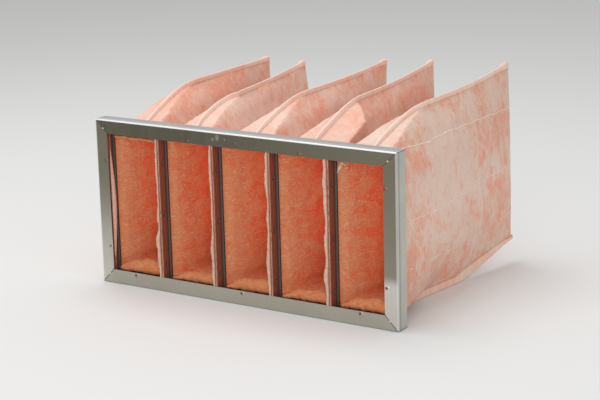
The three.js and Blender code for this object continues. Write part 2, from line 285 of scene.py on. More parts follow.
class Wire:
    """A node's output. An expression on wires and numbers adds its Math nodes."""

    def __init__(self, finish, socket):
        self.finish = finish
        self.socket = socket

    def math(self, operation, *values):
        """The result of a Math node on some values or wires."""
        return self.finish.node("ShaderNodeMath", {"operation": operation}, dict(enumerate(values)))

    def __add__(self, other):
        return self.math("ADD", self, other)

    def __radd__(self, other):
        return self.math("ADD", other, self)

    def __sub__(self, other):
        return self.math("SUBTRACT", self, other)

    def __rsub__(self, other):
        return self.math("SUBTRACT", other, self)

    def __mul__(self, other):
        return self.math("MULTIPLY", self, other)

    def __rmul__(self, other):
        return self.math("MULTIPLY", other, self)

    def __truediv__(self, other):
        return self.math("DIVIDE", self, other)

    def __abs__(self):
        return self.math("ABSOLUTE", self)

    def above(self, edge, width):
        """0 below an edge and 1 above it, turning over a width."""
        settings = {"interpolation_type": "SMOOTHSTEP"}
        inputs = {"Value": self, "From Min": edge - width / 2, "From Max": edge + width / 2}
        return self.finish.node("ShaderNodeMapRange", settings, inputs)

    def near(self, centre, width):
        """1 at a centre, falling to 0 at a width from it."""
        return (1 - abs(self - centre) / width).at_least(0)

    def at_least(self, other):
        """The greater of two values."""
        return self.math("MAXIMUM", self, other)

    def at_most(self, other):
        """The lesser of two values."""
        return self.math("MINIMUM", self, other)


class Finish:
    """A material whose nodes are added one call at a time."""

    def __init__(self, name):
        self.material = bpy.data.materials.new(name)
        self.material.use_nodes = True
        self.tree = self.material.node_tree
        self.shader = self.tree.nodes["Principled BSDF"]

    def node(self, kind, settings=None, inputs=None, output=0):
        """Adds a node: its settings first, then the values or wires of its inputs. Returns one output as a wire."""
        made = self.tree.nodes.new(kind)
        for key, value in (settings or {}).items():
            setattr(made, key, value)
        for key, value in (inputs or {}).items():
            self.put(made.inputs[key], value)
        return Wire(self, made.outputs[output])

    def put(self, socket, value):
        """Links a wire to a socket, or sets the socket to a value. A colour of three numbers gets an alpha of 1."""
        if isinstance(value, Wire):
            self.tree.links.new(value.socket, socket)
        elif isinstance(value, (tuple, list)) and len(value) == 3 and socket.type == "RGBA":
            socket.default_value = (*value, 1)
        else:
            socket.default_value = value

    def set(self, **values):
        """Sets sockets of the shader: base_color, roughness, normal and so on."""
        for key, value in values.items():
            self.put(self.shader.inputs[key.replace("_", " ").title().replace("Ior", "IOR")], value)

    def place(self, scale=(1, 1, 1), rotation=(0, 0, 0)):
        """Object coordinates, scaled and turned."""
        at = self.node("ShaderNodeTexCoord", output="Object")
        return self.node("ShaderNodeMapping", None, {"Vector": at, "Scale": scale, "Rotation": rotation})

    def axis(self, name):
        """One of the object coordinates, X, Y or Z."""
        at = self.node("ShaderNodeTexCoord", output="Object")
        return self.node("ShaderNodeSeparateXYZ", None, {"Vector": at}, output=name)

    def own(self, name):
        """An attribute of the piece, as a number."""
        return self.node("ShaderNodeAttribute", {"attribute_name": name}, output="Fac")

    def noise(self, scale, detail=4, rough=0.55, distort=0.0, at=None):
        """Soft noise, in object coordinates unless at says otherwise."""
        inputs = {"Vector": at or self.place(), "Scale": scale, "Detail": detail, "Roughness": rough,
                  "Distortion": distort}
        return self.node("ShaderNodeTexNoise", None, inputs)

    def mix(self, factor, first, second, blend="MIX"):
        """Two colours mixed by a factor."""
        settings = {"data_type": "RGBA", "blend_type": blend}
        return self.node("ShaderNodeMix", settings, {0: factor, 6: first, 7: second}, output=2)

    def bump(self, height, strength, distance):
        """Fine relief from a height."""
        inputs = {"Height": height, "Strength": strength, "Distance": distance}
        self.set(normal=self.node("ShaderNodeBump", None, inputs))


def dress(node, material):
    """Gives a CAD node a finish in each of its material slots."""
    slots = frame["nodes"][node].material_slots
    if not slots:
        frame["nodes"][node].data.materials.append(material)
    for slot in slots:
        slot.material = material


def dim(value, share_left):
    """A colour darkened to a share of itself."""
    return tuple(channel * share_left for channel in value)


# Tones of single places on the metal
# Painted reflection on the right flange, darker high up, and on the right end of the top flange
RIGHT_FLANGE_LOW, RIGHT_FLANGE_HIGH = (0.285, 0.272, 0.220), (0.197, 0.178, 0.124)
TOP_FLANGE_RIGHT = (0.20, 0.185, 0.135)
UPPER_MITRE, LOWER_MITRE = (0.08, 0.075, 0.06), (0.02, 0.02, 0.015)
SMUDGE = (0.42, 0.42, 0.38)
# Painted reflection: the front of the top channel's web, lighter
WEB_FRONT = (0.62, 0.63, 0.63)
# Painted highlight along the side flanges' outer bends
OUTER_EDGE_HIGHLIGHT = (0.75, 0.76, 0.74)
# Painted highlights on the strip and on the bead's ridge
STRIP_SHINE = (0.72, 0.50, 0.40)
BEAD_SHINE = (0.4, 0.4, 0.38)
# Painted shade in the staples' slots
STAPLE_SLOT_SHADE = (0.012, 0.010, 0.009)
BARE_METAL = (0.82, 0.80, 0.76)

FLANGE_REACH = 0.0245  # how far the mitres run in from the header's sides
BEND_REACH, BEND_BLUR = 0.0022, 0.0012  # the bends between the header's flanges and webs
MITRE_BLUR = 0.0006
# Painted bands of shade and highlight along the side channels' webs: depth, half-width, strength and colour
FLANK_BANDS = ((0.0075, 0.0035, 0.7, (0.30, 0.30, 0.27)), (0.0024, 0.0016, 0.8, (0.80, 0.80, 0.78)))
# Smudges on the top channel's front flange: x, z and radius
SMUDGES = ((-0.041, 0.278, 0.0034), (-0.050, 0.274, 0.0020), (-0.004, 0.273, 0.0009), (-0.026, 0.276, 0.0014))
# Painted highlight lines along the retainers' strip: depth and strength
STRIP_HIGHLIGHT_LINES = ((0.0042, 0.35), (0.0090, 0.4), (0.0138, 0.3))
# The bead's near-black tone is painted shade, and its ridge carries a painted highlight
BEAD_FRONT, BEAD_RIDGE = 0.0176, 0.0183  # depths at which the bead begins and shines
STAPLE_DEPTH = 0.0110


def galvanised_sheet(colours):
    """Galvanised sheet: satin metal with cloudy spangle and fine rolling grain.

    The front flanges carry painted reflections: dark along the top, mottled there, pale at the feet of the sides and
    on the bottom; they are parted by mitres. The bends carry painted highlights. The web is the top channel's, with a
    painted reflection of the sky, the flank a side channel's, with painted bands of shade and highlight.
    """
    f = Finish("galvanised_sheet")
    x, y, z = f.axis("X"), f.axis("Y"), f.axis("Z")
    front = 1 - y.above(FRONT + 0.0016, BEND_BLUR)
    across = HALF_WIDTH - abs(x)
    down = HEADER_HEIGHT - z
    upper = z.above(HEADER_HEIGHT / 2, 0.01)
    cloud = f.noise(14, 5, 0.6)
    grain = f.noise(1, 3, 0.6, at=f.place((900, 900, 30)))
    mottled_reflection = f.noise(1, 4, 0.6, 0.8, f.place((90, 90, 16)))

    # Painted reflection: side flanges pale at their feet and dark at their heads, bottom flange pale, top flange dark
    left = f.mix(z.above(0.10, 0.24), tuple(colours.sheet_pale), tuple(colours.sheet_side))
    right = f.mix(z.above(0.16, 0.26), RIGHT_FLANGE_LOW, RIGHT_FLANGE_HIGH)
    right = f.mix(z.above(0.080, 0.02), tuple(colours.sheet_pale), right)
    side = f.mix(x.above(0, 0.1), left, right)
    top = (across - down).above(0, MITRE_BLUR) * upper
    low = (across - z).above(0, MITRE_BLUR) * (1 - upper)
    top_flange_reflection = f.mix(x.above(0.10, 0.5), tuple(colours.sheet_dark_reflection_and_spangle), TOP_FLANGE_RIGHT)
    flange = f.mix(top, side, top_flange_reflection)
    flange = f.mix(low, flange, tuple(colours.sheet_low))
    # Painted reflection: a vertical mottle on the top flange
    flange = f.mix((mottled_reflection - 0.42) * 1.4 * top, flange, dim(colours.sheet_side, 0.85))
    for corner, line, strength in ((down, UPPER_MITRE, 0.6), (z, LOWER_MITRE, 1)):
        mitre = (across - corner).near(0, 0.0016) * (1 - across.above(FLANGE_REACH, 0.001))
        flange = f.mix(mitre * strength, flange, line)
    for spot_x, spot_z, size in SMUDGES:
        reach = f.node("ShaderNodeVectorMath", {"operation": "DISTANCE"},
                       {0: f.place((1, 0, 0.7)), 1: (spot_x, 0, spot_z * 0.7)}, "Value")
        flange = f.mix((1 - reach.above(size, size * 0.8)) * 0.55, flange, SMUDGE)

    # Painted reflection of the sky on the top channel's web, lighter towards its front
    web = f.mix(y.above(FRONT + 0.011, 0.004), WEB_FRONT, tuple(colours.web))
    flank = tuple(colours.sheet)
    # Painted shade and highlight bands on the side channels' webs
    for depth, width, strength, band in FLANK_BANDS:
        flank = f.mix(y.near(FRONT + depth, width) * strength, flank, band)
    body = f.mix(z.above(HEADER_HEIGHT - 0.0015, 0.001), flank, web)
    tone = f.mix(front, body, flange)
    # Painted highlight: a white line along the top bend, less metallic and smoother, and a paler line along the sides'
    # outer bends
    bend = (1 - down.above(BEND_REACH + 0.0001, BEND_BLUR)) * front
    tone = f.mix(bend, tone, (1, 1, 1))
    edge = (1 - across.above(BEND_REACH, BEND_BLUR)) * front * (1 - bend)
    tone = f.mix(edge * 0.5, tone, OUTER_EDGE_HIGHLIGHT)
    tone = f.mix(grain * 0.2 + (cloud - 0.5) * 0.3, tone, dim(colours.sheet_dark_reflection_and_spangle, 0.9))
    f.set(base_color=tone, metallic=0.72 - 0.6 * bend, roughness=0.38 + 0.16 * cloud - 0.1 * bend)
    f.bump(grain + 0.6 * cloud, 0.08, 0.0004)
    return f.material


def strip_steel(colours):
    """Plain steel strip: brushed along its length, brown as a painted reflection of the dyed fibre, with painted
    highlight lines along it and on the bead, and painted shade in the staples' slots and over the bead at the rear."""
    f = Finish("strip_steel")
    y, z = f.axis("Y"), f.axis("Z")
    grain = f.noise(1, 3, 0.6, at=f.place((1400, 1400, 14)))
    wear = f.noise(1, 4, 0.65, 0.5, f.place((60, 60, 14)))
    dark = y.above(FRONT + BEAD_FRONT, 0.001)
    # Painted reflection: the strip's brown
    tone = f.mix(grain * 0.5 + (wear - 0.5) * 0.5, tuple(colours.strip), dim(colours.strip, 0.45))
    for depth, shine in STRIP_HIGHLIGHT_LINES:
        tone = f.mix(y.near(FRONT + depth, 0.0008) * shine, tone, STRIP_SHINE)
    # Painted shade over the bead, which is also less metallic and rougher
    tone = f.mix(dark, tone, tuple(colours.bead))
    # Painted highlight along the bead's ridge
    tone = f.mix(y.near(FRONT + BEAD_RIDGE, 0.0008) * 0.2, tone, BEAD_SHINE)
    # Painted shade in the staples' slots
    for height in sorted({round(sum(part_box(name)[end].z for end in (0, 1)) / 2, 3) for name in STAPLES}):
        slot = (z.near(height, 0.0056) * 6 * y.near(FRONT + STAPLE_DEPTH, 0.0026)).at_most(1)
        tone = f.mix(slot, tone, STAPLE_SLOT_SHADE)
        dark = dark.at_least(slot)
    f.set(base_color=tone, metallic=0.55 - 0.4 * dark, roughness=0.36 + 0.2 * grain + 0.25 * dark)
    f.bump(grain, 0.1, 0.0003)
    return f.material


def bright_metal(colours):
    """Metal laid bare by the punch: hole rims and clinches."""
    f = Finish("bright_metal")
    wear = f.noise(500, 3)
    f.set(base_color=f.mix(wear * 0.6, BARE_METAL, dim(colours.sheet, 0.6)), metallic=0.5, roughness=0.3)
    return f.material


def wire_steel(colours):
    """Bright staple wire."""
    f = Finish("wire_steel")
    wear = f.noise(700, 3)
    f.set(base_color=f.mix(wear * 0.6, tuple(colours.wire), dim(colours.wire, 0.4)), metallic=1.0,
          roughness=0.25 + 0.2 * wear)
    return f.material


# Tones of single places on the medium
SCRIM_VEIN = (0.84, 0.75, 0.68)
SCRIM_SHADE = (0.85, 0.80, 0.75)
GUSSET_PAINTED_LIGHT = (0.95, 0.76, 0.67)
HEM_PAINTED_LIGHT = (0.98, 0.75, 0.64)
CREASE_SHADE = (0.44, 0.18, 0.10)
FIBRE_LOCK = (0.74, 0.115, 0.035)
FIBRE_STRAND = (0.82, 0.52, 0.33)
MOUTH_SHADE = (0.92, 0.94, 0.91)
CUT_GAP = (0.40, 0.17, 0.09)
FRAYED_PALE = (0.80, 0.60, 0.50)
FRAYED_SHADOW = (0.30, 0.13, 0.07)
# Painted light: weak emission standing for daylight through the medium, inside the pockets and in the loose medium
GLOW, LOOSE_GLOW = 0.14, 0.03


def scrim(f, colours):
    """The medium's outer skin. Returns its colour and its veins.

    Pale scrim, with the dyed fibre showing through in streaky salmon patches, more of it on a warm pocket, whose
    warmth is partly painted reflected light. A pale pocket is shaded towards its top and foot. The gussets and the seam
    allowances are paler with painted light, and folds have a painted shade line.
    """
    y, z, warm = f.axis("Y"), f.axis("Z"), f.own("warm")
    streak = f.noise(1, 6, 0.68, 1.1, f.place((92, 92, 46)))
    blotch = f.noise(8, 4, 0.6, 1.2)
    vein = f.noise(1, 6, 0.7, 2.0, f.place((170, 170, 80)))
    near = (1 - y.above(FRONT + 0.12, 0.09)) * (1 - z.above(0.27, 0.05))
    ends = abs(z - 0.165) * (1 - warm.above(0.25, 0.3))
    patches = streak + blotch * 0.9 + vein * 0.5 - 1.19 + warm * 0.08 + near * 0.07 + ends * 0.2
    salmon = patches.above(0.07, 0.26) * (0.84 + 0.06 * warm)
    tone = f.mix(salmon, tuple(colours.scrim_pale), tuple(colours.scrim_salmon))
    # Partly painted light: warmth tints the pockets between neighbours salmon
    tone = f.mix(warm * 0.45, tone, tuple(colours.scrim_salmon))
    tone = f.mix((vein - 0.465) * 2.4, tone, SCRIM_VEIN)
    tone = f.mix(ends * 4, tone, SCRIM_SHADE, "MULTIPLY")
    # Painted light on the upward-facing gusset facets, less on a warm pocket
    tone = f.mix(f.own("gusset") * (0.46 - 0.26 * warm), tone, GUSSET_PAINTED_LIGHT)
    # Painted light on the seam allowances, stronger over the first 150 mm, where upright they would fall into shade
    flat = 1 - y.above(FRONT + 0.15, 0.08)
    tone = f.mix(f.own("hem") * (0.42 + 0.45 * flat), tone, HEM_PAINTED_LIGHT)
    # Painted shade along the seam's root and the lower gusset's crease
    return f.mix(f.own("crease") * 0.38, tone, CREASE_SHADE), vein


def dyed_fibre(f, colours):
    """The medium's inner skin. Returns its colour and its strands.

    Dyed fibre with paler tufts near the mouth, darker locks and fine pale strands; the tufts thin out deeper in as a
    painted falloff of light. Painted shade darkens the fibre deep in the pocket's foot and along the lower corner.
    """
    z, deep = f.axis("Z"), f.own("deep")
    tuft = f.noise(1, 7, 0.66, 1.8, f.place((20, 16, 30), (0.4, 0, 0)))
    lock = f.noise(1, 6, 0.72, 3.0, f.place((90, 70, 230)))
    strand = f.noise(1, 5, 0.72, 3.5, f.place((60, 45, 210), (0.6, 0, 0)))
    # Painted light: the pale tufts thin out deeper in the pocket
    tufts = 0.84 - 0.85 * deep - 0.3 * z.above(0.235, 0.07) + (tuft - 0.5) * 3.0 + (lock - 0.5) * 3.4
    # Painted shade deep in the pocket's foot and along the lower corner
    foot = deep * (1 - z.above(0.068, 0.10))
    corner = z.near(0.034, 0.008) * (0.1 + 0.5 * deep)
    tone = f.mix(tufts.above(0.45, 0.9) * 0.84, tuple(colours.fibre), tuple(colours.fibre_pale))
    tone = f.mix((lock - 0.47) * 2.4, tone, FIBRE_LOCK)
    tone = f.mix((strand - 0.515) * (11.0 - 8.0 * deep), tone, FIBRE_STRAND)
    tone = f.mix(1 - deep, tone, MOUTH_SHADE, "MULTIPLY")
    tone = f.mix(foot * 0.95, tone, dim(colours.fibre, 0.42))
    return f.mix(corner, tone, dim(colours.fibre, 0.3)), strand


def filter_medium(colours):
    """The medium: scrim outside, dyed fibre inside and a fuzzy cut edge. A weak glow inside stands for the daylight
    that comes through the walls."""
    f = Finish("filter_medium")
    inside, edge = f.own("inside"), f.own("edge")
    outer, vein = scrim(f, colours)
    inner, strand = dyed_fibre(f, colours)
    ragged = f.noise(260, 5, 0.75)
    cut = f.mix((ragged - 0.42) * 1.5, tuple(colours.raw_edge), CUT_GAP)
    tone = f.mix(edge, f.mix(inside, outer, inner), cut)
    glow = f.mix(inside * (1 - edge), (0, 0, 0), inner)
    f.set(base_color=tone, roughness=0.95, specular_ior_level=0.12, sheen_weight=0.15, sheen_roughness=0.6,
          emission_color=glow, emission_strength=GLOW)
    fine = f.noise(620, 4, 0.7)
    curl = f.noise(1, 6, 0.75, 3.0, f.place((150, 150, 260)))
    f.bump(fine * 0.35 + vein * 0.4 + (curl + strand) * (0.1 + 0.6 * inside), 0.5, 0.0014)
    return f.material


def loose_medium(colours, name, first, second, gaps=2.4):
    """Medium seen in bulk: curled fibre of two tones, with dark gaps between its locks, and a speckled painted shadow
    towards the side that the attribute side marks. A weak painted glow lights it."""
    f = Finish(name)
    tuft = f.noise(1, 6, 0.7, 2.0, f.place((60, 90, 90)))
    lock = f.noise(1, 6, 0.75, 3.0, f.place((260, 260, 260)))
    tone = f.mix((tuft - 0.36) * 2.2, tuple(first), tuple(second))
    tone = f.mix((lock - 0.54) * gaps, tone, dim(colours.fibre, 0.25))
    # Painted shadow, speckled, on the side that the attribute side marks
    ragged = f.own("side").above(0.45, 0.7) * (0.55 + lock * 0.9)
    tone = f.mix(ragged, tone, FRAYED_SHADOW)
    # Painted glow: a weak emission of the medium's own colour
    f.set(base_color=tone, roughness=0.95, specular_ior_level=0.12, emission_color=tone,
          emission_strength=LOOSE_GLOW)
    f.bump(tuft + lock, 0.6, 0.0016)
    return f.material


def sewing_thread(colours):
    """Matt thread."""
    f = Finish("sewing_thread")
    twist = f.noise(900, 3)
    f.set(base_color=f.mix(twist * 0.5, tuple(colours.thread), dim(colours.thread, 0.6)), roughness=0.8)
    return f.material


# Pockets


CLEARANCE = 0.0003  # between neighbouring pockets, and between them and the header
THIN = 0.0005  # what is left of a seam allowance inside the header
THINNEST = 0.0008  # half the least width of a pocket


class PocketForm:
    """The surface of one pocket, with every bulge and fold, as formulas on depth and height."""

    def __init__(self, sizes, index):
        self.sizes = sizes
        self.index = index
        self.start = HEADER_DEPTH + CLEARANCE
        self.mouth = (PITCH - CLEARANCE) / 2
        self.centre = STACK_LEFT + (index + 0.5) * PITCH

    def along(self, depth):
        """The share of the way from the header to the rear fold."""
        return share(depth, self.start, self.sizes.depth)

    def half(self, depth):
        """Half the pocket's width: a straight taper to the rear fold, bulged by the air, with a round rear end."""
        s = self.sizes
        t = self.along(depth)
        width = self.mouth + (s.fold - self.mouth) * t + s.bulge * np.sin(math.pi * t) * t
        back = share(depth, s.depth - 1.3 * s.fold, s.depth)
        return width * np.sqrt(np.clip(1 - back**2, 0.02, 1))

    def top(self, depth):
        """Height of the top seam's root."""
        s = self.sizes
        climb = s.crest_rise[self.index] * smooth(share(depth, self.start, s.crest))
        return s.top + climb + (s.rear_rise[self.index] - s.crest_rise[self.index]) * self.along(depth) ** 3

    def bottom(self, depth):
        """Height of the bottom seam's root: down to the ground, and up again towards the rear."""
        s = self.sizes
        lowered = s.base + (s.hem - s.base) * smooth(share(depth, self.start, s.ground))
        return lowered + (s.rear_bottom - s.hem) * share(depth, s.rise, s.depth) ** 0.75

    def shown(self, depth, height, reach=0.06):
        """How far an allowance of a height stands out of the pocket: it comes out of the header over a reach."""
        return np.maximum(height * smooth(share(depth, self.start, self.start + reach)), THIN)

    def hanging(self, depth):
        """How far the bottom allowance hangs below its seam. Its lower edge lies on the ground, and lifts off it with
        the power 1.25 of the way from there to the rear."""
        s = self.sizes
        edge = s.rear_edge * share(depth, s.lift, s.depth) ** 1.25
        return self.shown(depth, self.bottom(depth) - edge, 0.075)

    def gusset(self, depth):
        """The share of the way from the header to where the creases meet the seam."""
        return share(depth, self.start, self.sizes.gusset)

    def crease(self, depth, side):
        """Half the width of the top gusset between its two creases."""
        s = self.sizes
        power = (s.crease_left if side < 0 else s.crease_right)[self.index]
        return self.mouth * (1 - self.gusset(depth) ** power)

    def under(self, depth):
        """Half the width of the bottom gusset."""
        return self.mouth * (1 - self.gusset(depth) ** 1.15)

    def puff(self, depth, side):
        """How far the top gusset's crease stands above the seam."""
        s = self.sizes
        rise = (s.puff_left if side < 0 else s.puff_right)[self.index]
        return rise * np.sin(math.pi * self.gusset(depth)) ** 1.3

    def nub(self, depth):
        """1 at the top allowance's stiff rear end and 0 in front of it."""
        end = self.sizes.depth
        return smooth(share(depth, end - 0.024, end - 0.016))

    def ridge(self, depth):
        """How far the top seam allowance stands out: its rear end is a rounded nub."""
        s = self.sizes
        turned = np.sqrt(1 - 0.75 * share(depth, s.depth - 0.008, s.depth) ** 2)
        return (self.shown(depth, s.seam) + s.nub * self.nub(depth)) * turned

    def lean(self, depth):
        """How far the seam lies over to the left."""
        return self.sizes.lean[self.index] * np.sin(math.pi * self.gusset(depth)) ** 0.8

    def drawn_in(self, depth, z, side):
        """How far the right wall is drawn in behind its upright fold.

        d (1 - exp(-b / 12 mm)) exp(-b / 60 mm) at b behind the fold, and a bell curve of 70 mm down the wall.
        """
        s = self.sizes
        if side < 0:
            return 0.0
        behind = np.maximum(depth - s.fold_depth[self.index], 0)
        fade = np.exp(-(np.maximum(self.top(depth) - z, 0) / 0.07) ** 2)
        return s.fold_drop[self.index] * (1 - np.exp(-behind / 0.012)) * np.exp(-behind / 0.06) * fade

    def swing(self, depth, height):
        """How far the pocket leans sideways at a depth, at a height of 0 at its foot to 1 at its top."""
        s = self.sizes
        foot, top = s.swing_foot[self.index], s.swing_top[self.index]
        return (foot + (top - foot) * height) * self.along(depth)

    def wall(self, depth, z, side, inset=0.0):
        """Distance from the pocket's middle plane to a wall.

        It is crease + (half - crease) sin(pi / 2 u ** 0.85), where u runs from 0 at the gusset's crease to 1 below the
        shoulder, and the same with u itself at the foot. The slack is added: ripples 130 and 50 mm long, puckers 20 mm
        long that die away from the seams, wrinkles 13 mm long in a bell curve where the gusset ends, and a bell-shaped
        furrow along each row of thread.
        """
        s = self.sizes
        top, bottom = self.top(depth) + self.puff(depth, side) - inset, self.bottom(depth) + inset
        half = np.maximum(self.half(depth) - inset, THINNEST)
        crease = np.minimum(np.maximum(self.crease(depth, side) - inset, 0.001), half)
        low_crease = np.minimum(np.maximum(self.under(depth) - inset, 0.001), half)
        shoulder = np.minimum(s.shoulder, (top - bottom) / 2 - s.wall)
        upper = np.clip((top - z) / shoulder, 0, 1)
        lower = np.clip((z - bottom) / shoulder, 0, 1)
        x = crease + (half - crease) * np.sin(math.pi / 2 * upper ** 0.85)
        x = np.where(z < (top + bottom) / 2, low_crease + (half - low_crease) * np.sin(math.pi / 2 * lower), x)

        loose = smooth(share(depth, self.start, self.start + 0.05)) * smooth(share(half, s.fold, 0.02))
        loose = loose * (0.3 if np.any(inset) else 1)
        seed = 10 * self.index + (1 if side > 0 else 0)
        slack = 0.0016 * ripple(depth, z, 0.13, seed + 1) + 0.0008 * ripple(depth, z, 0.05, seed + 2)
        near_seam = np.exp(-(top - z) / 0.035) + 0.7 * np.exp(-(z - bottom) / 0.03)
        pucker = 0.0012 * ripple(depth, z, 0.02, seed + 3, 12, -0.5, 0.5)
        gathered = np.exp(-((depth - s.gusset + 0.03) / 0.03) ** 2 - ((top - z) / 0.04) ** 2)
        wrinkle = 0.0014 * gathered * ripple(depth, z, 0.013, seed + 4, 8, 0.5, 1.2)
        furrow = sum(np.exp(-((z - row_height(row, depth)) / 0.011) ** 2) for row in ROWS)
        x = x + loose * (slack + wrinkle + pucker * near_seam - 0.0022 * furrow)
        return np.maximum(x - self.drawn_in(depth, z, side), THINNEST)


# Depths and heights of each row of thread, which changes its way at a knot
ROWS = [
    ((0.03, 0.274), (0.078, 0.273), (0.159, 0.270), (0.211, 0.2755), (0.421, 0.277), (0.445, 0.278)),
    ((0.03, 0.157), (0.188, 0.159), (0.228, 0.165), (0.330, 0.170), (0.445, 0.178)),
    ((0.03, 0.082), (0.145, 0.080), (0.282, 0.074), (0.445, 0.092)),
]
KNOTS = (0.078, 0.159, 0.211)
ROW_RADII = (0.0008, 0.0008, 0.0006)
ROW_LIFTS = (0.0003, 0.0003, -0.0003)  # the lowest row is pulled into the medium
ROW_DROP = 0.024  # how much lower the top row lies on every pocket but the last


def row_height(row, depth):
    """Height of a row of thread at a depth, along straight runs from point to point."""
    depths, heights = zip(*row)
    return np.interp(depth, depths, heights)


# Points on a pocket's half ring: down an allowance's side, over its top, across a gusset and down the wall
FIN_SIDE, FIN_TOP, ROOF, WALL = 5, 4, 14, 74
FIN = FIN_TOP + FIN_SIDE
# Partly painted light: besides the dyed fibre, warmth tints the pockets between neighbours as if lit by light reflected
# off them
WARMTH = (0.85, 0.45, 0.5, 0.75, 0.1)  # how much of the dyed fibre shows through each pocket's scrim


def half_ring(form, depth, side, inset):
    """Half of the pocket's rings: down one face of the top seam allowance, over the gusset, down the wall, under the
    lower gusset and down the bottom allowance. Returns offsets to the right of the middle plane and heights, one row
    for each depth.

    The allowances are straight, with quarter ellipses for their ends. The upper gusset rises to its crease with
    e (2 - e), or falls to it with e, at a share e of the way, the lower one with e squared. The wall's heights are
    closer together near its ends. An inset gives the inner skin, whose allowances are cut short.
    """
    s = form.sizes
    d = depth[:, None]
    inner = inset is not None
    gap = inset[:, None] if inner else 0.0
    drop = gap + 0.014 * form.along(d) if inner else 0.0
    top, bottom = form.top(d) - drop, form.bottom(d) + drop
    thickness = s.seam_width * (0.35 if inner else 1.0) * (1 + 1.5 * form.nub(d))
    root = np.minimum(thickness / 2, form.half(d) * 0.8)
    fin, foot = (0.0002, 0.0002) if inner else (form.ridge(d), form.hanging(d))
    peak = top + form.puff(d, side)
    low = bottom + 0.0010 * np.sin(math.pi * form.gusset(d)) ** 1.3
    wall_top = form.wall(d, peak, side, gap)
    wall_low = form.wall(d, low, side, gap)

    angle = np.linspace(0, math.pi / 2, FIN_TOP, endpoint=False)[None, :]
    turned = angle + math.pi / 2 / FIN_TOP
    up = np.linspace(0, 1, FIN_SIDE, endpoint=False)[None, :]
    flat = root * np.ones_like(up)
    over = np.linspace(0, 1, ROOF, endpoint=False)[None, :]
    under = np.linspace(0, 1, ROOF)[None, :]
    fall = np.linspace(0, 1, WALL, endpoint=False)[None, :]
    wall_z = peak + (low - peak) * (0.5 * fall + 0.25 * (1 - np.cos(math.pi * fall)))
    runs = (
        (root * np.sin(angle), top + fin - root * 0.6 * (1 - np.cos(angle))),
        (flat, top + (fin - root * 0.6) * (1 - up)),
        (root + (wall_top - root) * over, top + (peak - top) * over * np.where(peak > top, 2 - over, 1)),
        (form.wall(d, wall_z, side, gap), wall_z),
        (wall_low + (root - wall_low) * under, low + (bottom - low) * under**2),
        (flat, bottom - (foot - root * 0.6) * (up + 1 / FIN_SIDE)),
        (root * np.cos(turned), bottom - foot + root * 0.6 * (1 - np.sin(turned))),
    )
    x, z = (np.concatenate(values, 1) for values in zip(*runs))
    hold = np.concatenate([np.ones(FIN), 1 - over[0]])
    leaning = -form.lean(d) * np.concatenate([hold, np.zeros(x.shape[1] - len(hold))])
    return side * x + leaning, z


def around(left, right):
    """Two halves of a ring as one: down the left from the top, and up the right."""
    return np.concatenate([left, right[..., -2:0:-1]], -1)


def pocket_rings(form, depth, inset=None):
    """Whole rings at each depth, anticlockwise from the top as seen from the front, as an array of points. The bottom
    allowance runs out behind the rear fold with the square of the way over its last 30 mm."""
    left_x, left_z = half_ring(form, depth, -1, inset)
    right_x, right_z = half_ring(form, depth, 1, inset)
    d = depth[:, None]
    z = around(left_z, right_z)
    height = (z - form.bottom(d)) / (form.top(d) - form.bottom(d))
    x = around(left_x, right_x) + form.centre + form.swing(d, height)
    foot = np.zeros(left_x.shape[1])
    foot[-FIN - 2:] = np.linspace(0.4, 1, FIN + 2)
    tail = 0.0 if inset is not None else form.sizes.tail * share(d, form.sizes.depth - 0.03, form.sizes.depth) ** 2
    return np.stack([x, FRONT + d + tail * around(foot, foot), z], -1)


def relaxed(points, rounds):
    """Rounds of smoothing round each ring, each point moved to (before + 2 itself + after) / 4."""
    for _ in range(rounds):
        points = (np.roll(points, 1, 1) + 2 * points + np.roll(points, -1, 1)) / 4
    return points


def end_faces(count, columns):
    """Quads and triangles that close the first and the last of a pocket's rings, straight across from left to right."""
    k = np.arange(1, columns // 2 - 1)
    start = np.stack([columns - k, columns - k - 1, k + 1, k], 1)
    low, last = columns // 2, (count - 1) * columns
    tips = np.array([[0, columns - 1, 1], [low, low - 1, low + 1]])
    quads = np.concatenate([start, last + start[:, ::-1]])
    return quads, np.concatenate([tips, last + tips[:, ::-1]])


def outer_rings(form):
    """The outer skin's rings, from the raw front edge to the round rear fold."""
    s = form.sizes
    depth = np.concatenate([
        [s.front, s.front + 0.0008, s.front + 0.004, 0.012, 0.02],
        form.start + (s.depth - 0.008 - form.start) * np.linspace(0, 1, s.rows) ** 1.1,
        s.depth - 0.008 + 0.008 * np.sin(np.linspace(0, math.pi / 2, 9)[1:]),
    ])
    rings = pocket_rings(form, depth)
    rings[5:] = relaxed(rings, 2)[5:]
    return rings


def inner_rings(form):
    """The inner skin's depths and rings, from the raw front edge back. Its wall and floor are rough with fibre."""
    s = form.sizes
    depth = np.concatenate([
        [s.front, s.front + 0.004, 0.012, 0.02],
        form.start + (s.depth - 0.035 - form.start) * np.linspace(0, 1, s.rows // 2) ** 1.2,
    ])
    inset = s.clamped + (s.wall * 1.3 - s.clamped) * smooth(share(depth, form.start, form.start + 0.02))
    rings = pocket_rings(form, depth, inset)
    loose = smooth(share(depth, form.start, form.start + 0.03))[:, None]
    fluff = sum(0.0006 * ripple(rings[..., 1], rings[..., 2], size, seed + form.index, 14)
                for size, seed in ((0.030, 50), (0.009, 60)))
    away = np.sign(rings[..., 0] - form.centre - form.swing(depth[:, None], 0.5))
    rings[..., 0] += np.where(np.abs(rings[..., 0] - form.centre) > 0.01, away * fluff * loose, 0)
    rings[..., 2] += 0.6 * fluff * loose * (rings[..., 2] < form.bottom(depth[:, None]) + 0.03)
    return depth, relaxed(rings, 1)


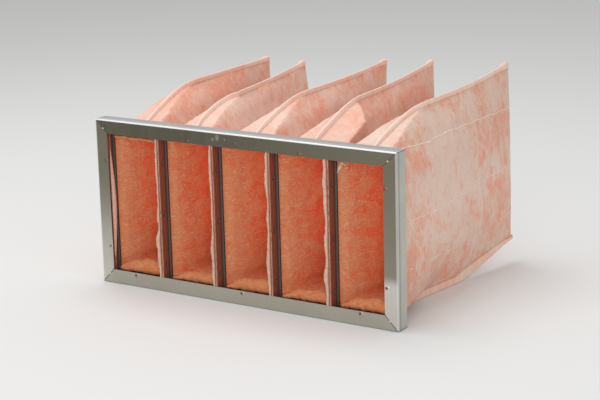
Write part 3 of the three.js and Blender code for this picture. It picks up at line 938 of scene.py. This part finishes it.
def pocket_marks(piece, form, points, outer_count, inner_depth):
    """Stores what the finish reads from a pocket: where it is inside, deep, cut, gusset, seam allowance or crease."""
    count, columns = points.shape[:2]
    row = np.arange(count)[:, None]
    outside = row < outer_count
    deep = np.concatenate([np.zeros(outer_count), smooth(share(inner_depth, 0.03, 0.18))])[:, None]
    flap, hem, line, low_line = np.zeros((4, columns // 2 + 1))
    flap[FIN: FIN + ROOF] = 1
    hem[:FIN] = hem[-FIN:] = 1
    # Painted shade lines: the seam's root and the lower gusset's crease
    line[FIN] = 0.6
    line[-FIN - 2: -FIN] = 1
    low_line[-FIN - ROOF - 1: -FIN - ROOF + 1] = 0.7
    depth = points[..., 1] - FRONT
    end = form.sizes.gusset
    marks = {
        "inside": ~outside,
        "deep": deep,
        "edge": (row >= outer_count - 3) & (row < outer_count + 2),
        "warm": WARMTH[form.index],
        # Where the gusset facets' painted light falls, fading towards the gusset's end
        "gusset": outside * around(flap, flap) * (1 - share(depth, 0.10, end)),
        "hem": outside * around(hem, hem),
        "crease": outside * (around(line, line) + around(low_line, low_line) * (1 - share(depth, 0.12, end))),
    }
    for name, values in marks.items():
        attribute(piece, name, np.broadcast_to(values, (count, columns)))


def pocket_piece(sizes, index, material):
    """One pocket: its outer skin from the rear fold to the raw front edge, then its inner skin back to the rear."""
    form = PocketForm(sizes, index)
    outer = outer_rings(form)
    inner_depth, inner = inner_rings(form)
    points = np.concatenate([outer[::-1], inner])
    count, columns = points.shape[:2]
    quads, tips = end_faces(count, columns)
    quads = np.concatenate([ring_quads(count, columns), quads])
    piece = mesh_object(f"pocket_{index + 1}_medium", points.reshape(-1, 3), quads, tips)
    pocket_marks(piece, form, points, len(outer), inner_depth)
    piece.data.materials.append(material)
    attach(piece, "root")
    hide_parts(f"pocket_{index + 1}")
    return piece


class FilterPockets(Operator):
    """Five sewn pockets of fibrous medium."""

    bl_idname = "filter.pockets"
    bl_label = "Pockets"

    def execute(self, context):
        material = filter_medium(context.scene.filter_colours)
        for index in range(len(POCKETS)):
            pocket_piece(context.scene.filter_pocket_sizes, index, material)
        return {"FINISHED"}


STITCH_RUN, STITCH_PITCH = (0.05, 0.15), 0.0056  # depths between which the overlock shows, and its stitches' pitch


def overlock(form):
    """Slanting stitches over the seam allowance where it comes out of the header."""
    shapes = []
    for start in np.arange(*STITCH_RUN, STITCH_PITCH):
        depth = start + np.array([0, 0.0008, 0.0016, 0.0024])
        z = form.top(depth) + form.shown(depth, form.sizes.seam) * np.array([0.02, 0.35, 0.7, 1.0])
        x = form.centre + form.swing(depth, 1) - form.lean(depth)
        for side in (-1, 1):
            face = side * (form.sizes.seam_width / 2 + 0.0004)
            shapes.append(tube(np.stack([x + face, FRONT + depth, z], 1), 0.0006, 5))
    return shapes


SIDES = 20  # points round a sausage of loose medium


def swept(centre, wide, tall, axis, fluff, seed):
    """A closed sausage along X (axis 0) or Z (axis 2).

    Its rings are ellipses of half-widths wide and tall round a path of centres. They close with (1 - r ** 14) ** 0.5 at
    a share r of the way from its middle to its ends. A ripple of a height fluff lies on it.
    """
    rounds = len(centre)
    angle = np.arange(SIDES) * math.tau / SIDES
    run = np.linspace(-1, 1, rounds)[:, None]
    closing = np.sqrt(np.clip(1 - np.abs(run) ** 14, 0.0004, 1))
    way = centre[:, axis][:, None]
    girth = np.arange(SIDES)[None, :] * 0.0025
    rough = fluff * closing * (ripple(way, girth, 0.012, seed, 12) + 0.5 * ripple(way, girth, 0.005, seed + 1, 12))
    across, other, order = (1, 2, 1) if axis == 0 else (0, 1, -1)
    ring = np.zeros((rounds, SIDES, 3))
    ring[..., across] = (wide[:, None] * closing + rough) * np.cos(angle)
    ring[..., other] = (tall[:, None] * closing + rough) * np.sin(angle) * order
    points = centre[:, None] + ring
    return points.reshape(-1, 3), ring_quads(rounds, SIDES)[:, ::order], end_fans(rounds, SIDES)[:, ::order]


def soft_trim(name, shape, material):
    """A piece of loose medium or thread, from its points, quads and triangles."""
    piece = mesh_object(name, *shape)
    piece.data.materials.append(material)
    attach(piece, "root")
    return piece


BEAD = 0.0054  # the retainers' rolled rear edge, across
ROLL_LEFT, ROLL_RIGHT = 0.0150, 0.0036  # where a roll ends, in from its pocket's sides
ROLL_DEPTH, ROLL_WIDTH, HEAD_ROLL = 0.0145, 0.0095, 0.0036
# Heights of each roll at its left and its right end
ROLL_HEIGHTS = ((0.011, 0.025), (0.005, 0.019), (0.007, 0.023), (0.006, 0.020), (0.008, 0.022))


class FilterRolls(Operator):
    """Medium that has bulged over the foot of each retainer, and over the head of the first."""

    bl_idname = "filter.rolls"
    bl_label = "Bulged medium"

    def execute(self, context):
        colours = context.scene.filter_colours
        material = loose_medium(colours, "bulged_medium", dim(colours.fibre_pale, 0.82), dim(colours.fibre, 0.72))
        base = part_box(RETAINERS[0])[0].z + BEAD - 0.0024
        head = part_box(RETAINERS[0])[1].z - BEAD - 0.0012
        way = np.linspace(0, 1, 120)
        wide = np.full(len(way), ROLL_WIDTH)
        depth = np.full(len(way), FRONT + ROLL_DEPTH)
        for index, (left_end, right_end) in enumerate(ROLL_HEIGHTS):
            start = STACK_LEFT + index * PITCH
            x = np.linspace(start + ROLL_LEFT, start + PITCH - ROLL_RIGHT, len(way))
            tall = (left_end + (right_end - left_end) * smooth(share(way, 0.0, 0.45))) / 2
            tall = tall * (1 + 0.09 * waver(x, 0.05, 200 + index))
            shapes = [swept(np.stack([x, depth, base + tall], 1), wide, tall, 0, 0.0007, 210 + index)]
            if index == 0:
                thin = HEAD_ROLL * (1 + 0.2 * waver(x, 0.03, 230))
                shapes.append(swept(np.stack([x, depth, head - thin], 1), wide, thin, 0, 0.0006, 232))
            soft_trim(f"pocket_{index + 1}_roll", joined(shapes), material)
        return {"FINISHED"}


# Half-widths of each frayed edge: all along, and how much more in its lower and in its upper part
EDGE_WIDTHS = (
    (0.0022, 0.0026, 0.0006), (0.0022, 0.0018, 0.0012), (0.0024, 0.0018, 0.0014), (0.0034, 0.0010, 0.0014),
)
EDGE_RIGHT = 0.0022  # how far a frayed edge reaches over the right one of its two retainers
# Locks of the loose tuft: x, z and drop
TUFT = ((0.1850, 0.2600, 0.020), (0.1875, 0.2610, 0.018), (0.1920, 0.2605, 0.008), (0.1960, 0.2600, 0.006))


class FilterEdges(Operator):
    """The frayed front edges of the medium between the retainers, and the medium that has bulged at the far left."""

    bl_idname = "filter.edges"
    bl_label = "Frayed edges"

    def execute(self, context):
        colours = context.scene.filter_colours
        material = loose_medium(colours, "frayed_medium", colours.raw_edge, FRAYED_PALE, 3.2)
        z = np.linspace(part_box(RETAINERS[0])[0].z + 0.001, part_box(RETAINERS[0])[1].z - 0.001, 220)
        way = np.linspace(0, 1, len(z))
        for index, (level, low, high) in enumerate(EDGE_WIDTHS):
            half = level + low * np.exp(-((way - 0.2) / 0.2) ** 2) + high * np.exp(-((way - 0.85) / 0.15) ** 2)
            half = half * (1 + 0.24 * waver(z, 0.05, 240 + index))
            x = STACK_LEFT + (index + 1) * PITCH + EDGE_RIGHT - half
            path = np.stack([x, np.full(len(z), FRONT + 0.0009), z], 1)
            shape = swept(path, half, np.full(len(z), 0.0014), 2, 0.0006, 250 + index)
            piece = soft_trim(f"pocket_{index + 1}_edge", shape, material)
            # The side attribute marks each frayed edge's right side, where a painted shadow falls against the strip
            attribute(piece, "side", np.tile(np.cos(np.arange(SIDES) * math.tau / SIDES), len(z)))

        turn = np.linspace(0, 1, 24)
        shapes = []
        for number, (x, high, drop) in enumerate(TUFT):
            curl = [x + 0.004 * np.sin(4 * turn + number), FRONT + 0.016 - 0.006 * turn, high - drop * turn ** 1.3]
            shapes.append(tube(np.stack(curl, 1), 0.0018 * np.sin(math.pi * np.linspace(0.1, 0.95, len(turn)))))
        soft_trim("pocket_5_tuft", joined(shapes), material)

        swell = np.sin(math.pi * share(way, 0.08, 0.86))
        half = 0.0002 + 0.0031 * swell ** 1.2
        path = np.stack([STACK_LEFT + 0.0035 + half, np.full(len(z), FRONT + 0.0115), z], 1)
        material = loose_medium(colours, "bulged_scrim", colours.scrim_pale, colours.scrim_salmon)
        soft_trim("pocket_1_bulge", swept(path, half, 0.0003 + 0.0045 * swell ** 0.6, 2, 0.0002, 262), material)
        return {"FINISHED"}


CLINCH_INSET = 0.0155
CLINCH = (0.0017, 0.0008)  # radius and height of a corner's clinch
RIM = (0.0042, 0.0009, 0.0026)  # radius, height and bore of a hole's rim
HOLE_INSET = 0.020
HOLES = (
    (0.194 - HALF_WIDTH, HEADER_HEIGHT - HOLE_INSET), (HALF_WIDTH - 0.178, HEADER_HEIGHT - HOLE_INSET),
    (0.073 - HALF_WIDTH, HOLE_INSET), (-0.002, HOLE_INSET), (HALF_WIDTH - 0.069, HOLE_INSET),
    (HOLE_INSET - HALF_WIDTH, 0.066), (HOLE_INSET - HALF_WIDTH, HEADER_HEIGHT - 0.071),
    (HALF_WIDTH - HOLE_INSET, 0.069), (HALF_WIDTH - HOLE_INSET, HEADER_HEIGHT - 0.059),
)


def dome(centre, radius, height, bore=0.0):
    """A low round dome on the header's front face, or a rim round a bore.

    At a share w of the way in from its outer edge, the dome is h (1 - (1 - w) ** 2) ** 0.5 high and the rim
    h sin(pi w). A flat back closes it.
    """
    sides, steps = 24, 7
    turn = np.arange(sides) * math.tau / sides
    way = np.linspace(0, 1, steps)
    reach = radius * (1 - way) + bore * way
    reach[-1] = max(reach[-1], 0.00005)
    rise = height * (np.sin(math.pi * way) if bore else np.sqrt(1 - (1 - way) ** 2))
    x = centre[0] + reach[:, None] * np.cos(turn)
    z = centre[1] + reach[:, None] * np.sin(turn)
    y = np.broadcast_to(FRONT + 0.0004 - rise[:, None], x.shape)
    face = np.stack([x, y, z], -1)
    back = np.stack([x, np.full(x.shape, FRONT + 0.0008), z], -1)[::-1]
    triangles = np.zeros((0, 3), int)
    return np.concatenate([face, back]).reshape(-1, 3), ring_quads(2 * steps, sides, looped=True), triangles


class FilterPunchings(Operator):
    """Bright rims of the header's holes and the clinches that hold its corners."""

    bl_idname = "filter.punchings"
    bl_label = "Rims and clinches"

    def execute(self, context):
        shapes = [dome(place, *RIM) for place in HOLES]
        for side in (-1, 1):
            for z in (CLINCH_INSET, HEADER_HEIGHT - CLINCH_INSET):
                shapes.append(dome((side * (HALF_WIDTH - CLINCH_INSET), z), *CLINCH))
        piece = mesh_object("header_punchings", *joined(shapes))
        piece.data.materials.append(bright_metal(context.scene.filter_colours))
        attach(piece, "root")
        return {"FINISHED"}


class FilterThreads(Operator):
    """Rows of thread that tie each pocket's two walls together, as they lie on the outside of both walls."""

    bl_idname = "filter.threads"
    bl_label = "Rows of thread"

    def execute(self, context):
        material = sewing_thread(context.scene.filter_colours)
        depth = np.linspace(0.034, 0.441, 160)
        knots = sum(np.exp(-((depth - knot) / 0.0025) ** 2) for knot in KNOTS)
        for index in range(len(POCKETS)):
            form = PocketForm(context.scene.filter_pocket_sizes, index)
            shapes = []
            for side in (-1, 1):
                for number, row in enumerate(ROWS):
                    z = row_height(row, depth) + 0.0009 * waver(depth, 0.05, 100 + 8 * index + number + side)
                    if number == 0 and index + 1 < len(POCKETS):
                        z = z - ROW_DROP
                    height = (z - form.bottom(depth)) / (form.top(depth) - form.bottom(depth))
                    x = side * (form.wall(depth, z, side) + ROW_LIFTS[number])
                    x = x + form.centre + form.swing(depth, height)
                    radius = ROW_RADII[number] * (1 + 1.2 * knots)
                    shapes.append(tube(np.stack([x, FRONT + depth, z], 1), radius, 6))
            soft_trim(f"pocket_{index + 1}_threads", joined(shapes + overlock(form)), material)
        return {"FINISHED"}


class FilterMetal(Operator):
    """Finishes of the header, the retainers and the staples."""

    bl_idname = "filter.metal"
    bl_label = "Metalwork"

    def execute(self, context):
        colours = context.scene.filter_colours
        for nodes, material in ((HEADERS, galvanised_sheet(colours)), (RETAINERS, strip_steel(colours)),
                                (STAPLES, wire_steel(colours))):
            for node in nodes:
                dress(node, material)
        return {"FINISHED"}


FLOOR_REACH, FLOOR_LEVEL = 12.0, -0.0004
DAYLIGHT = 0.55
LAMP_AIM = (0, 0.15, 0.15)
# Soft lamps: name, place, size and power
LAMPS = (
    ("overhead", (-0.6, 0.2, 2.6), 2.0, 34),
    ("side", (2.6, -0.9, 1.3), 1.6, 7),
    ("mouths", (1.5, -2.6, 0.9), 1.4, 21),
    ("front", (-0.8, -2.8, 1.5), 1.8, 8),
)


class FilterStage(Operator):
    """A pale floor, soft lights and the camera."""

    bl_idname = "filter.stage"
    bl_label = "Stage"

    def execute(self, context):
        scene = context.scene
        scene.view_settings.view_transform = "Standard"
        back = Vector((math.sin(CAMERA_AZIMUTH) * math.cos(CAMERA_ELEVATION),
                       -math.cos(CAMERA_AZIMUTH) * math.cos(CAMERA_ELEVATION), math.sin(CAMERA_ELEVATION)))
        level = (-back).cross(Vector((0, 0, 1))).normalized()
        upright = level.cross(-back)
        right = math.cos(CAMERA_ROLL) * level + math.sin(CAMERA_ROLL) * upright
        up = -math.sin(CAMERA_ROLL) * level + math.cos(CAMERA_ROLL) * upright
        place = CAMERA_ACROSS * right + CAMERA_UP * up + CAMERA_DISTANCE * back + Vector((0, FRONT, 0))
        data = bpy.data.cameras.new("camera")
        data.sensor_fit = "HORIZONTAL"
        data.sensor_width = SENSOR_WIDTH
        data.lens = FOCAL_PIXELS * SENSOR_WIDTH / IMAGE_WIDTH
        data.clip_end = 50
        camera = bpy.data.objects.new("camera", data)
        camera.matrix_world = Matrix((
            (right.x, up.x, back.x, place.x),
            (right.y, up.y, back.y, place.y),
            (right.z, up.z, back.z, place.z),
            (0, 0, 0, 1),
        ))
        scene.collection.objects.link(camera)
        scene.camera = camera

        finish = Finish("pale_floor")
        finish.set(base_color=tuple(scene.filter_colours.floor), roughness=0.9)
        corners = FLOOR_REACH * np.array([[-1, -1, 0], [1, -1, 0], [1, 1, 0], [-1, 1, 0]])
        floor = mesh_object("floor", corners + (0, 0, FLOOR_LEVEL), np.array([[0, 1, 2, 3]]))
        floor.data.materials.append(finish.material)

        world = bpy.data.worlds.new("studio")
        scene.world = world
        world.use_nodes = True
        sky = world.node_tree.nodes["Background"]
        sky.inputs["Color"].default_value = (1, 1, 1, 1)
        sky.inputs["Strength"].default_value = DAYLIGHT
        for name, spot, size, power in LAMPS:
            lamp = bpy.data.lights.new(name, "AREA")
            lamp.size = size
            lamp.energy = power
            item = bpy.data.objects.new(name, lamp)
            item.location = spot
            item.rotation_euler = (Vector(LAMP_AIM) - Vector(spot)).to_track_quat("-Z", "Y").to_euler()
            scene.collection.objects.link(item)
        return {"FINISHED"}


class FilterPanel(Panel):
    """The filter's operators, in the order in which they run."""

    bl_idname = "VIEW3D_PT_filter"
    bl_label = "Bag air filter"
    bl_space_type = "VIEW_3D"
    bl_region_type = "UI"
    bl_category = "Filter"

    def draw(self, context):
        for operator in OPERATORS:
            self.layout.operator(operator.bl_idname)


OPERATORS = (FilterStage, FilterMetal, FilterPunchings, FilterPockets, FilterThreads, FilterRolls, FilterEdges)
GROUPS = (FilterPocketSizes, FilterColours)


def register():
    for cls in (*GROUPS, *OPERATORS, FilterPanel):
        bpy.utils.register_class(cls)
    bpy.types.Scene.filter_pocket_sizes = PointerProperty(type=FilterPocketSizes)
    bpy.types.Scene.filter_colours = PointerProperty(type=FilterColours)


def unregister():
    del bpy.types.Scene.filter_pocket_sizes
    del bpy.types.Scene.filter_colours
    for cls in reversed((*GROUPS, *OPERATORS, FilterPanel)):
        bpy.utils.unregister_class(cls)


def main():
    """Registers the add-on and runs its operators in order."""
    register()
    bpy.ops.filter.stage()
    bpy.ops.filter.metal()
    bpy.ops.filter.punchings()
    bpy.ops.filter.pockets()
    bpy.ops.filter.threads()
    bpy.ops.filter.rolls()
    bpy.ops.filter.edges()


if __name__ == "__main__":
    main()
